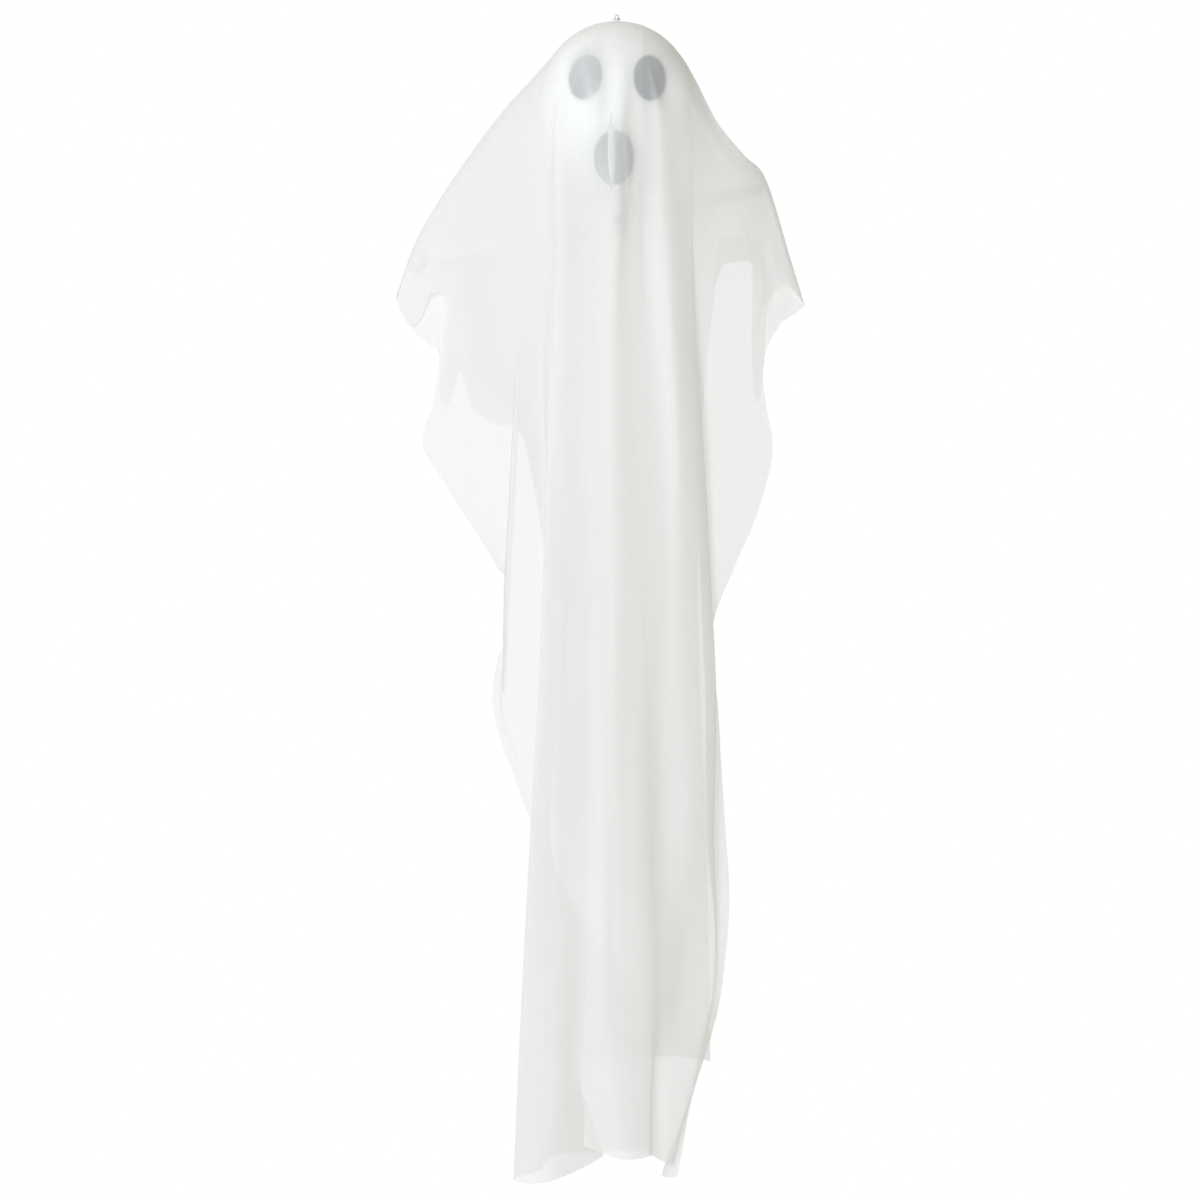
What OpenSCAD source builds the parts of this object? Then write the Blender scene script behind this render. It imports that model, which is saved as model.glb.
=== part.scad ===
// Hanging ghost: a sheer cloth draped over a hollow head and a rocking crossbar.
// Millimetres, +Z up, the face looks along -Y, origin at the centre of the hanging eye.

/* [Sheet] */
// width across the two sleeve tips
sheet_span = 411; // [340:1:520]
// drop of the front hem below the hanging eye
front_drop = 1166; // [950:1:1400]
// drop of the back hem below the hanging eye
back_drop = 1054; // [850:1:1300]
// thickness of the draped cloth as a solid
sheet_t = 1.0; // [0.6:0.1:2]

/* [Head] */
// diameter of the head at its widest
head_d = 150; // [120:1:180]
// length of the head from its widest level down to the chin
head_chin = 110; // [80:1:130]
// fullness of the chin, 2 for an ellipse
chin_full = 2.2; // [2:0.1:3.4]
// height of the widest level, below the hanging eye
head_z = -81.5; // [-100:0.5:-78]
// wall of the two head halves
head_wall = 1.6; // [1.2:0.1:3]
// thickness of the felt face patches
felt_t = 1.0; // [0.5:0.1:1]

/* [Face] */
// width of an eye patch seen from the front
eye_w = 32; // [20:1:45]
// height of an eye patch seen from the front
eye_h = 46; // [30:1:60]
// distance between the eye centres
eye_gap = 64; // [50:1:80]
// height of the eyes
eye_z = -65.5; // [-80:0.5:-45]
// width of the mouth patch
mouth_w = 40; // [25:1:55]
// height of the mouth patch
mouth_h = 53; // [30:1:65]
// height of the mouth
mouth_z = -145.5; // [-150:0.5:-120]

/* [Hanger] */
// hole of the hanging eye
eye_hole_d = 2.5; // [2:0.1:2.8]
// wall round the hole of the hanging eye
eye_wall = 0.9; // [0.7:0.1:1.2]
// shank of the hanging eye
shank_d = 3; // [2.5:0.1:3.4]

/* [Core] */
// diameter of the core dowel
core_d = 24; // [20:1:30]
// lower end of the core dowel
core_bottom = -219; // [-230:1:-215]
// gap of the fork at the lower end
fork_gap = 8.6; // [8.6:0.1:10]

/* [Crossbar] */
// tilt of the crossbar as it hangs, the right end up
bar_tilt = 12; // [8:0.5:13]
// thickness of the crossbar, front to back
bar_t = 8; // [6:0.1:8]
// height of the crossbar
bar_h = 12; // [8:0.5:12]
// pivot to the centre of the left end ball
arm_left = 203; // [180:1:210]
// pivot to the centre of the right end ball
arm_right = 144; // [130:1:150]
// diameter of the end balls
ball_d = 12; // [10:1:13]
// height of the pivot
pivot_z = -204; // [-206:0.5:-204]
// diameter of the pivot bolt
bolt_d = 4; // [3:0.1:4.5]

/* [Hidden] */
head_r = head_d/2;
core_r = core_d/2;
ball_r = ball_d/2;
bar_end = 9.2;                 // the square part of the crossbar stops this far from a ball's centre
cloth_r = head_r + 3;          // cloth over the dome
fork_roof = pivot_z + bar_h/2/cos(bar_tilt) + core_r*tan(bar_tilt) + 0.4;
kx = sheet_span/411;
kf = (front_drop - 323)/(1166 - 323);
kb = (back_drop - 323)/(1054 - 323);
left_ball = [-arm_left*cos(bar_tilt), 0, pivot_z - arm_left*sin(bar_tilt)];
right_ball = [arm_right*cos(bar_tilt), 0, pivot_z + arm_right*sin(bar_tilt)];

// ---------------------------------------------------------------- head
// half outline of the head: a round dome above its widest level, a longer chin below
function egg_pts(d) = concat(
    [for (i = [0:12]) let (a = 90 - i*7.5) [(head_r + d)*cos(a), head_z + (head_r + d)*sin(a)]],
    [for (i = [1:14]) let (a = i*90/14) [i == 14 ? 0 : (head_r + d)*pow(cos(a), 2/chin_full), head_z - (head_chin + d)*pow(sin(a), 2/chin_full)]]);
module egg(d) rotate_extrude($fn = 96) polygon(egg_pts(d));
module egg_shell(inner, outer) difference() { egg(outer); egg(inner); }
module tube_y(r, y0, y1) translate([0, y0, 0]) rotate([-90, 0, 0]) cylinder(r = r, h = y1 - y0, $fn = 64);

module head_body() difference() {
    union() {
        egg_shell(-head_wall, 0);
        // sockets that hold the core dowel at the crown and at the chin
        intersection() {
            egg(-head_wall/2);
            union() {
                translate([0, 0, head_z + head_r - 26]) cylinder(r = core_r + 3, h = 30, $fn = 64);
                translate([0, 0, head_z - head_chin - 5]) cylinder(r = core_r + 3, h = 22, $fn = 64);
            }
        }
    }
    translate([0, 0, head_z + head_r - 27]) cylinder(r = core_r + 0.05, h = 18.6, $fn = 64);
    translate([0, 0, head_z - head_chin - 6]) cylinder(r = core_r + 0.05, h = 26, $fn = 64);
    translate([0, 0, head_z + head_r - 20]) cylinder(r = 2.2, h = 30, $fn = 48);
}
module head_front_shell() color([0.93, 0.93, 0.92]) intersection() {
    head_body();
    translate([-100, -100, -250]) cube([200, 99.95, 300]);
}
module head_back_shell() color([0.93, 0.93, 0.92]) union() {
    intersection() {
        head_body();
        translate([-100, 0.05, -250]) cube([200, 100, 300]);
    }
    // lip that locates the front half
    difference() {
        union() {
            intersection() {
                egg_shell(-head_wall - 1.3, -head_wall + 0.3);
                translate([-100, 0.05, -250]) cube([200, 4, 300]);
            }
            intersection() {
                egg_shell(-head_wall - 1.3, -head_wall - 0.15);
                translate([-100, -5, -250]) cube([200, 6, 300]);
            }
        }
        translate([0, 0, head_z + head_r - 40]) cylinder(r = core_r + 5, h = 60, $fn = 64);
        translate([0, 0, head_z - head_chin - 6]) cylinder(r = core_r + 5, h = 40, $fn = 64);
    }
}

// ---------------------------------------------------------------- face
function oval(w, h) = [for (i = [0:47]) [w/2*cos(i*7.5), h/2*sin(i*7.5)]];
module patch(x, z, w, h, lean) color([0.05, 0.05, 0.06]) intersection() {
    egg_shell(0.05, 0.05 + felt_t);
    translate([x, 0, z]) rotate([90, 0, 0]) linear_extrude(height = 100) rotate(lean) polygon(oval(w, h));
}
module left_eye_patch() patch(0.5 - eye_gap/2, eye_z, eye_w, eye_h, -10);
module right_eye_patch() patch(0.5 + eye_gap/2, eye_z - 1, eye_w, eye_h, 3);
module mouth_patch() patch(-3, mouth_z, mouth_w, mouth_h, 0);

// ---------------------------------------------------------------- hanger
module hanging_eye() color([0.55, 0.56, 0.58]) difference() {
    union() {
        tube_y(eye_hole_d/2 + eye_wall, -1, 1);
        translate([0, 0, -2.1]) cylinder(r = 3, h = 0.5, $fn = 48);
        translate([0, 0, -48]) cylinder(r = shank_d/2, h = 46.3, $fn = 48);
    }
    tube_y(eye_hole_d/2, -4, 4);
}
module swivel_washer() color([0.7, 0.71, 0.73]) translate([0, 0, -40.8]) difference() {
    cylinder(r = 3.5, h = 0.5, $fn = 48);
    translate([0, 0, -1]) cylinder(r = shank_d/2 + 0.1, h = 3, $fn = 48);
}
module lock_nut() color([0.7, 0.71, 0.73]) translate([0, 0, -44.9]) difference() {
    cylinder(r = 3.175, h = 4, $fn = 6);
    translate([0, 0, -1]) cylinder(r = shank_d/2 + 0.02, h = 6, $fn = 48);
}
module crown_eyelet() color([0.9, 0.9, 0.9]) difference() {
    union() {
        translate([0, 0, -2.85]) cylinder(r = 4.5, h = 0.4, $fn = 64);
        translate([0, 0, -5.4]) cylinder(r = 2.3, h = 2.8, $fn = 64);
        translate([0, 0, -5.4]) cylinder(r = 4.2, h = 0.4, $fn = 64);
    }
    translate([0, 0, -7]) cylinder(r = 1.9, h = 6, $fn = 64);
}

// ---------------------------------------------------------------- core and pivot
module core_dowel() color([0.88, 0.88, 0.86]) difference() {
    translate([0, 0, core_bottom]) cylinder(r = core_r, h = -15 - core_bottom, $fn = 96);
    translate([0, 0, -46]) cylinder(r = shank_d/2 + 0.05, h = 40, $fn = 48);
    // window for the nut of the hanging eye
    translate([-core_r - 1, -4.2, -52]) cube([2*core_r + 2, 8.4, 12]);
    // fork for the crossbar
    translate([-core_r - 1, -fork_gap/2, core_bottom - 1]) cube([2*core_r + 2, fork_gap, fork_roof - core_bottom + 1]);
    for (s = [-1, 1]) translate([-core_r - 1, s > 0 ? core_r - 1 : -core_r - 4, core_bottom - 1])
        cube([2*core_r + 2, 5, pivot_z + 11 - core_bottom + 1]);
    translate([0, 0, pivot_z]) tube_y(bolt_d/2 + 0.03, -core_r - 2, core_r + 2);
}
module pivot_bolt() color([0.62, 0.63, 0.65]) translate([0, 0, pivot_z]) difference() {
    union() {
        tube_y(bolt_d/2, -core_r + 0.1, core_r + 6);
        tube_y(4, -core_r - 2.3, -core_r + 0.2);
    }
    translate([-6, -core_r - 3, -0.5]) cube([12, 1.7, 1]);
}
module pivot_washers() color([0.7, 0.71, 0.73]) for (y = [-core_r + 0.25, core_r - 0.95])
    translate([0, 0, pivot_z]) difference() {
        tube_y(4.6, y, y + 0.7);
        tube_y(bolt_d/2 + 0.1, y - 1, y + 2);
    }
module wing_nut() color([0.66, 0.67, 0.69]) translate([0, 0, pivot_z]) difference() {
    union() {
        tube_y(3.8, core_r - 0.2, core_r + 3.4);
        for (s = [-1, 1]) translate([0, core_r + 0.6, 0]) rotate([0, s > 0 ? 0 : 180, 0])
            translate([0, 0, -0.8]) linear_extrude(height = 1.6) union() {
                polygon([[2.5, 0], [9, 3], [9, 7], [5, 7], [2.5, 2.6]]);
                translate([8, 5.4]) circle(r = 2.4, $fn = 48);
            }
    }
    tube_y(bolt_d/2 + 0.03, -1, core_r + 9);
}

// ---------------------------------------------------------------- crossbar
module on_bar() translate([0, 0, pivot_z]) rotate([0, -bar_tilt, 0]) children();
module crossbar() color([0.88, 0.88, 0.86]) on_bar() difference() {
    union() {
        translate([-arm_left + bar_end, 0, 0]) rotate([90, 0, 90])
            linear_extrude(height = arm_left + arm_right - 2*bar_end)
            polygon([[-bar_t/2 + 1, -bar_h/2], [bar_t/2 - 1, -bar_h/2], [bar_t/2, -bar_h/2 + 1], [bar_t/2, bar_h/2 - 1],
                [bar_t/2 - 1, bar_h/2], [-bar_t/2 + 1, bar_h/2], [-bar_t/2, bar_h/2 - 1], [-bar_t/2, -bar_h/2 + 1]]);
        translate([-arm_left - 2, 0, 0]) rotate([0, 90, 0]) cylinder(r = 3, h = arm_left + arm_right + 4, $fn = 48);
    }
    tube_y(3.02, -bar_t, bar_t);
}
module pivot_bush() color([0.75, 0.6, 0.3]) on_bar() difference() {
    tube_y(3, -bar_t/2, bar_t/2);
    tube_y(bolt_d/2 + 0.05, -bar_t, bar_t);
}
module left_end_ball() color([0.88, 0.88, 0.86]) on_bar() translate([-arm_left, 0, 0]) difference() {
    sphere(r = ball_r, $fn = 64);
    translate([-2.2, 0, 0]) rotate([0, 90, 0]) cylinder(r = 3.03, h = 30, $fn = 48);
}
module right_end_ball() color([0.88, 0.88, 0.86]) on_bar() translate([arm_right, 0, 0]) difference() {
    sphere(r = ball_r, $fn = 64);
    translate([2.2, 0, 0]) rotate([0, -90, 0]) cylinder(r = 3.03, h = 30, $fn = 48);
}

// ---------------------------------------------------------------- sheet
// The cloth is drawn as fold lines. Each one starts on the ridge over the head and the crossbar
// and runs down to the front hem, and down to the back hem.
function over_dome(x, s) = let (r = sqrt(cloth_r*cloth_r - x*x))
    [for (a = [0, 32, 62, 92]) [x, s*r*sin(a), head_z + r*cos(a)]];
function tail(list) = [for (i = [1:len(list) - 1]) list[i]];
function head_front(x, drop) = concat(over_dome(x, -1), drop);
function head_back(x, drop) = concat(tail(over_dome(x, 1)), drop);

front = [
    [[-222, 0, -282], [-217, -5, -281], [-207, -9, -279], [-195, -12, -277], [-183, -15, -277], [-172, -18, -283]],
    [[-209, 0, -236], [-203, -7, -243], [-193, -11, -251], [-183, -14, -259], [-175, -16, -269], [-169, -18, -283]],
    [[-192, 0, -207], [-189, -8, -217], [-184, -12, -229], [-177, -15, -241], [-170, -17, -255], [-163, -20, -278]],
    [[-159, 0, -155], [-159, -8, -167], [-158, -13, -183], [-156, -17, -201], [-153, -20, -221], [-150, -23, -248]],
    [[-117, 0, -98], [-118, -10, -110], [-119, -17, -126], [-120, -22, -146], [-121, -26, -173], [-122, -30, -218]],
    [[-82, 0, -59], [-83, -14, -73], [-84, -25, -91], [-86, -32, -113], [-87, -36, -151], [-91, -39, -221]],
    [[-67, 0, -42], [-69, -18, -53], [-70, -32, -71], [-71, -41, -93], [-72, -45, -148], [-76, -47, -223], [-77, -50, -323], [-74, -52, -423], [-66, -54, -573], [-64, -55, -687], [-68, -56, -813], [-69, -57, -983], [-77, -58, -1155]],
    head_front(-57, [[-61, -53, -148], [-65, -58, -223], [-67, -69, -323], [-69, -78, -423], [-74, -84, -573], [-79, -86, -687], [-86, -86, -813], [-95, -85, -983], [-103, -84, -1163]]),
    head_front(-42, [[-51, -68, -148], [-56, -73, -223], [-58, -79, -323], [-57, -84, -423], [-57, -88, -573], [-58, -90, -687], [-60, -92, -813], [-63, -94, -983], [-68, -94, -1164]]),
    head_front(-25, [[-32, -72, -148], [-36, -73, -223], [-37, -77, -323], [-36, -80, -423], [-35, -83, -573], [-35, -84, -687], [-36, -84, -813], [-37, -83, -983], [-14, -56, -1141]]),
    head_front(-17, [[-20, -75, -148], [-24, -75, -223], [-25, -79, -323], [-24, -81, -423], [-23, -82, -573], [-23, -83, -687], [-23, -83, -813], [-26, -83, -983], [-34, -70, -1130]]),
    head_front(0, [[0, -79, -148], [-4, -82, -223], [-4, -85, -323], [-3, -87, -423], [-2, -87, -573], [-3, -88, -687], [-5, -88, -813], [-5, -88, -983], [5, -88, -1142]]),
    head_front(21, [[19, -74, -148], [18, -72, -223], [19, -73, -323], [20, -74, -423], [22, -75, -573], [22, -75, -687], [23, -75, -813], [28, -75, -983], [34, -72, -1140]]),
    head_front(29, [[30, -71, -148], [30, -67, -223], [37, -66, -323], [44, -64, -423], [46, -62, -573], [44, -59, -687], [46, -54, -813], [42, -65, -983], [31, -60, -1138]]),
    head_front(47, [[47, -66, -148], [50, -72, -223], [57, -71, -323], [63, -66, -423], [68, -55, -573], [70, -51, -687], [75, -45, -813], [62, -38, -983], [45, -55, -1146]]),
    [[65, 0, -40], [66, -25, -48], [67, -45, -64], [67, -54, -86], [69, -57, -148], [72, -53, -223], [78, -43, -323], [86, -39, -423], [94, -31, -573], [99, -28, -687], [97, -25, -813], [93, -24, -983], [54, -50, -1149]],
    [[79, -24, -66], [79, -33, -74], [79, -43, -87], [79, -48, -105], [78, -51, -153], [78, -48, -223]],
    [[101, -31, -109], [101, -33, -118], [100, -37, -131], [99, -39, -148], [99, -40, -178], [99, -39, -225]],
    [[128, -20, -141], [128, -22, -151], [127, -25, -163], [126, -27, -179], [125, -29, -201], [124, -30, -235]],
    [[150, 0, -164], [151, -8, -178], [150, -12, -195], [148, -16, -215], [146, -19, -238], [144, -22, -273]],
    [[175, 0, -245], [173, -6, -248], [168, -10, -250], [161, -14, -252], [153, -17, -258], [147, -20, -280]],
    [[189, 0, -291], [184, -5, -284], [175, -10, -274], [165, -13, -268], [155, -16, -270], [148, -19, -290]]];
back = [
    [[-215, 4, -300], [-204, 7, -316], [-191, 9, -326], [-178, 12, -339], [-162, 16, -358], [-143, 23, -396], [-100, 37, -416], [-72, 52, -573], [-77, 58, -687], [-82, 60, -813], [-80, 62, -933], [-72, 63, -1049]],
    [[-205, 6, -253], [-197, 9, -275], [-186, 12, -295], [-173, 15, -315], [-158, 19, -339], [-139, 25, -378], [-97, 40, -413], [-70, 54, -571], [-75, 60, -687], [-79, 62, -813], [-77, 64, -933], [-69, 65, -1050]],
    [[-189, 7, -223], [-183, 10, -241], [-175, 14, -261], [-164, 18, -283], [-150, 23, -311], [-132, 30, -358], [-94, 45, -413], [-67, 57, -571], [-71, 62, -687], [-75, 64, -813], [-72, 66, -933], [-64, 67, -1050]],
    [[-158, 9, -171], [-155, 14, -189], [-150, 19, -209], [-143, 24, -233], [-133, 30, -268], [-119, 38, -328], [-89, 50, -413], [-62, 60, -573], [-66, 65, -687], [-69, 67, -813], [-66, 69, -933], [-58, 70, -1050]],
    [[-117, 12, -113], [-116, 20, -131], [-114, 27, -153], [-110, 33, -181], [-105, 40, -223], [-97, 48, -318], [-79, 57, -419], [-56, 66, -573], [-59, 70, -687], [-61, 72, -813], [-58, 74, -933], [-50, 75, -1050]],
    [[-82, 16, -73], [-82, 28, -91], [-82, 37, -113], [-81, 44, -151], [-78, 51, -223], [-72, 58, -323], [-64, 66, -423], [-49, 74, -573], [-51, 77, -687], [-52, 78, -813], [-49, 79, -933], [-41, 80, -1051]],
    [[-68, 19, -53], [-69, 34, -71], [-69, 45, -93], [-67, 52, -148], [-63, 58, -223], [-57, 64, -323], [-50, 70, -423], [-41, 74, -573], [-41, 75, -687], [-41, 76, -813], [-38, 76, -933], [-31, 76, -1051]],
    head_back(-57, [[-53, 58, -148], [-48, 63, -223], [-42, 67, -323], [-37, 69, -423], [-32, 68, -573], [-30, 67, -687], [-28, 66, -813], [-25, 66, -933], [-20, 66, -1051]]),
    head_back(-42, [[-39, 68, -148], [-35, 70, -223], [-30, 71, -323], [-26, 71, -423], [-22, 70, -573], [-19, 70, -687], [-16, 70, -813], [-13, 70, -933], [-9, 70, -1051]]),
    head_back(-25, [[-23, 76, -148], [-20, 79, -223], [-17, 81, -323], [-14, 82, -423], [-11, 83, -573], [-9, 83, -687], [-7, 84, -813], [-4, 84, -933], [-1, 84, -1051]]),
    head_back(-17, [[-16, 78, -148], [-13, 81, -223], [-10, 83, -323], [-7, 84, -423], [-4, 84, -573], [-2, 84, -687], [1, 84, -813], [4, 84, -933], [7, 84, -1051]]),
    head_back(0, [[0, 78, -148], [1, 78, -223], [2, 77, -323], [4, 75, -423], [7, 73, -573], [10, 72, -687], [13, 71, -813], [17, 70, -933], [21, 70, -1051]]),
    head_back(21, [[20, 75, -148], [19, 74, -223], [19, 74, -323], [20, 74, -423], [23, 74, -573], [26, 74, -687], [30, 74, -813], [34, 74, -933], [38, 74, -1051]]),
    head_back(29, [[27, 73, -148], [25, 73, -223], [25, 75, -323], [27, 77, -423], [30, 79, -573], [34, 80, -687], [38, 81, -813], [42, 82, -933], [46, 82, -1051]]),
    head_back(47, [[43, 66, -148], [40, 70, -223], [39, 75, -323], [40, 79, -423], [43, 82, -573], [47, 84, -687], [51, 85, -813], [56, 85, -933], [60, 85, -1051]]),
    head_back(65, [[61, 50, -148], [56, 58, -223], [52, 65, -323], [51, 70, -423], [53, 73, -573], [57, 74, -687], [62, 74, -813], [67, 74, -933], [71, 74, -1051]]),
    [[79, 14, -76], [78, 26, -89], [77, 34, -107], [73, 42, -148], [67, 51, -223], [62, 58, -323], [59, 62, -423], [61, 65, -573], [65, 66, -687], [70, 66, -813], [75, 66, -933], [79, 66, -1052]],
    [[101, 10, -121], [99, 17, -133], [97, 23, -149], [92, 30, -173], [84, 38, -208], [73, 48, -303], [67, 55, -421], [67, 59, -573], [71, 61, -687], [76, 62, -813], [80, 62, -933], [83, 62, -1052]],
    [[127, 8, -155], [125, 12, -169], [122, 16, -185], [116, 20, -203], [106, 26, -221], [83, 40, -293], [73, 50, -419], [72, 55, -573], [75, 58, -687], [80, 59, -813], [84, 60, -933], [87, 60, -1053]],
    [[150, 7, -179], [148, 10, -196], [145, 12, -215], [138, 15, -231], [120, 20, -233], [91, 35, -286], [78, 47, -418], [76, 53, -573], [79, 56, -687], [84, 57, -813], [88, 58, -933], [90, 58, -1053]],
    [[171, 5, -258], [164, 8, -271], [156, 11, -279], [146, 13, -273], [121, 18, -242], [95, 33, -283], [81, 45, -417], [79, 51, -573], [82, 54, -687], [87, 56, -813], [90, 57, -933], [92, 57, -1054]],
    [[181, 4, -302], [170, 7, -311], [161, 9, -317]]];
// below the shoulders the front cloth's outer edges and outer folds have their own points: [row, x, y, z]
left_edge = [[6, -176, -20, -323], [6.6, -185, -21, -393], [6.9, -194, -22, -420], [7.05, -194, -22, -436], [7.2, -179, -24, -460],
    [7.5, -153, -27, -501], [7.9, -116, -30, -562], [8.05, -111, -31, -580], [8.4, -117, -33, -633], [8.75, -124, -36, -672],
    [9, -124, -38, -694], [9.25, -117, -40, -724], [9.6, -102, -42, -765], [10, -83, -43, -814], [10.5, -40, -42, -898],
    [11, 16, -40, -983], [11.5, 33, -39, -1060], [12, 36, -38, -1135]];
left_fold = [[6, -98, -45, -323], [7, -102, -47, -425], [7.5, -106, -47, -500], [8, -110, -46, -572], [8.5, -113, -45, -640],
    [9, -112, -45, -698], [9.5, -92, -48, -755], [10, -70, -50, -813], [11, -59, -50, -983], [12, -61, -52, -1140]];
right_edge = [[6, 146, -18, -338], [6.4, 147, -16, -372], [6.75, 152, -14, -403], [7, 156, -12, -426], [7.15, 156, -12, -442], [7.45, 143, -14, -493],
    [7.9, 118, -18, -553], [8.3, 97, -20, -608], [8.6, 96, -19, -645], [9, 101, -17, -689], [9.5, 105, -14, -757], [10, 110, -11, -830],
    [10.4, 113, -10, -884], [10.8, 109, -11, -946], [11, 103, -13, -990], [11.4, 86, -25, -1048], [11.7, 71, -36, -1103], [12, 58, -42, -1166]];
right_fold = [[6, 77, -37, -323], [7, 79, -33, -423], [8, 84, -27, -573], [9, 89, -23, -687], [10, 90, -19, -813], [11, 97, -18, -983], [11.5, 78, -37, -1066], [12, 56, -47, -1150]];
// the back cloth's right edge, which turns up into a square corner under the arm
back_edge = [[4, 150, 12, -318], [4.25, 146, 13, -300], [4.5, 143, 13, -264], [4.65, 138, 14, -248], [5, 118, 18, -245], [5.35, 105, 24, -249], [5.6, 101, 28, -264],
    [6, 98, 32, -292], [7, 83, 44, -417], [8, 81, 50, -573], [9, 84, 53, -687], [10, 89, 55, -813], [11, 92, 56, -933], [12, 94, 56, -1054]];

// a line's points carry their row number, counted from the ridge
function numbered(l) = [for (i = [0:len(l) - 1]) concat([i], l[i])];
function xyz(p) = [p[1], p[2], p[3]];
function span_of(l, t, i = 0) = i >= len(l) - 2 || l[i + 1][0] > t ? i : span_of(l, t, i + 1);
function slope(l, i) = let (n = len(l) - 1, a = max(i - 1, 0), b = min(i, n - 1),
    h0 = l[a + 1][0] - l[a][0], h1 = l[b + 1][0] - l[b][0],
    d0 = (xyz(l[a + 1]) - xyz(l[a]))/h0, d1 = (xyz(l[b + 1]) - xyz(l[b]))/h1)
    (d1*h0 + d0*h1)/(h0 + h1);
// smooth curve through a line's points, at row t
function curve(l, t) = let (i = span_of(l, t), h = l[i + 1][0] - l[i][0], u = (t - l[i][0])/h)
    xyz(l[i])*(2*u*u*u - 3*u*u + 1) + slope(l, i)*h*(u*u*u - 2*u*u + u)
    + xyz(l[i + 1])*(3*u*u - 2*u*u*u) + slope(l, i + 1)*h*(u*u*u - u*u);
// a line that runs between an edge and a fold, a given part of the way in
function between(edge, fold, part) = [for (t = concat([6, 6.5, 7], [for (k = [29:36]) k/4], [for (k = [19:24]) k/2]))
    concat([t], curve(edge, t)*(1 - part) + curve(fold, t)*part)];
left_parts = [0.07, 0.20, 0.45, 0.72];
right_parts = [0.64, 0.33, 0.12, 0.05];
function front_line(i) = concat(numbered(front[i]),
    i == 0 ? left_edge : i < 5 ? between(left_edge, left_fold, left_parts[i - 1]) : i == 5 ? left_fold :
    i == 16 ? right_fold : i > 16 && i < 21 ? between(right_edge, right_fold, right_parts[i - 17]) : i == 21 ? right_edge : []);
function back_line(i) = concat(numbered(concat([front[i][0]], back[i])), i == 21 ? back_edge : []);
front_lines = [for (i = [0:21]) front_line(i)];
back_lines = [for (i = [0:21]) back_line(i)];

// sizes chosen above stretch the drawing: the span across, the drops below the shoulders
function fitted(p, k) = [p.x*(abs(p.x) > 100 ? kx : 1), p.y, p.z > -323 ? p.z : -323 + (p.z + 323)*k];
front_rows = concat([for (k = [0:12]) k/2], [for (k = [1:3]) 6 + k/3], [for (k = [1:8]) 7 + k/4], [for (k = [1:9]) 9 + k/3]);
back_rows = [for (k = [24:-1:1]) k/2];
drawn = [for (i = [0:21]) concat([for (t = back_rows) fitted(curve(back_lines[i], t), kb)],
    [for (t = front_rows) fitted(curve(front_lines[i], t), kf)])];

// the cloth lies outside the head and the end balls
function off_head(p) = let (q = p - [0, 0, head_z], rho = norm([q.x, q.y])/cloth_r, n = chin_full,
    f = q.z > 0 ? norm([rho, q.z/cloth_r]) : pow(pow(rho, n) + pow(-q.z/(head_chin + 3), n), 1/n)) f < 1 ? [0, 0, head_z] + q/f : p;
function off_ball(p, c) = let (q = p - c, r = ball_r + 7) norm(q) < r ? c + q*r/norm(q) : p;
function clear(p) = off_ball(off_ball(off_head(p), left_ball), right_ball);

rows = len(drawn[0]);
grid = [for (r = [0:rows - 1]) let (l = numbered([for (d = drawn) d[r]])) [for (k = [0:42]) clear(curve(l, k/2))]];
cols = len(grid[0]);
function unit(v) = v/norm(v);
function normal_at(r, c) = unit(cross(
    grid[r][min(c + 1, cols - 1)] - grid[r][max(c - 1, 0)],
    grid[min(r + 1, rows - 1)][c] - grid[max(r - 1, 0)][c]));
outer_pts = [for (r = [0:rows - 1]) for (c = [0:cols - 1]) grid[r][c] - normal_at(r, c)*sheet_t/2];
inner_pts = [for (r = [0:rows - 1]) for (c = [0:cols - 1]) grid[r][c] + normal_at(r, c)*sheet_t/2];
function at(r, c) = r*cols + c;
nn = rows*cols;
faces_out = [for (r = [0:rows - 2]) for (c = [0:cols - 2]) each
    [[at(r, c), at(r, c + 1), at(r + 1, c + 1)], [at(r, c), at(r + 1, c + 1), at(r + 1, c)]]];
faces_in = [for (f = faces_out) [nn + f[2], nn + f[1], nn + f[0]]];
rim = concat([for (c = [0:cols - 1]) at(0, c)], [for (r = [1:rows - 1]) at(r, cols - 1)],
    [for (c = [cols - 2:-1:0]) at(rows - 1, c)], [for (r = [rows - 2:-1:1]) at(r, 0)]);
faces_rim = [for (i = [0:len(rim) - 1]) let (a = rim[i], b = rim[(i + 1)%len(rim)]) each
    [[b, a, nn + a], [b, nn + a, nn + b]]];
module sheet() color([0.96, 0.97, 0.96]) difference() {
    polyhedron(points = concat(outer_pts, inner_pts), faces = concat(faces_out, faces_in, faces_rim), convexity = 12);
    translate([0, 0, -6]) cylinder(r = 2.6, h = 5, $fn = 48);
}

hanging_eye();
swivel_washer();
lock_nut();
crown_eyelet();
sheet();
head_front_shell();
head_back_shell();
left_eye_patch();
right_eye_patch();
mouth_patch();
core_dowel();
pivot_bolt();
pivot_washers();
wing_nut();
crossbar();
pivot_bush();
left_end_ball();
right_end_ball();
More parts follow.
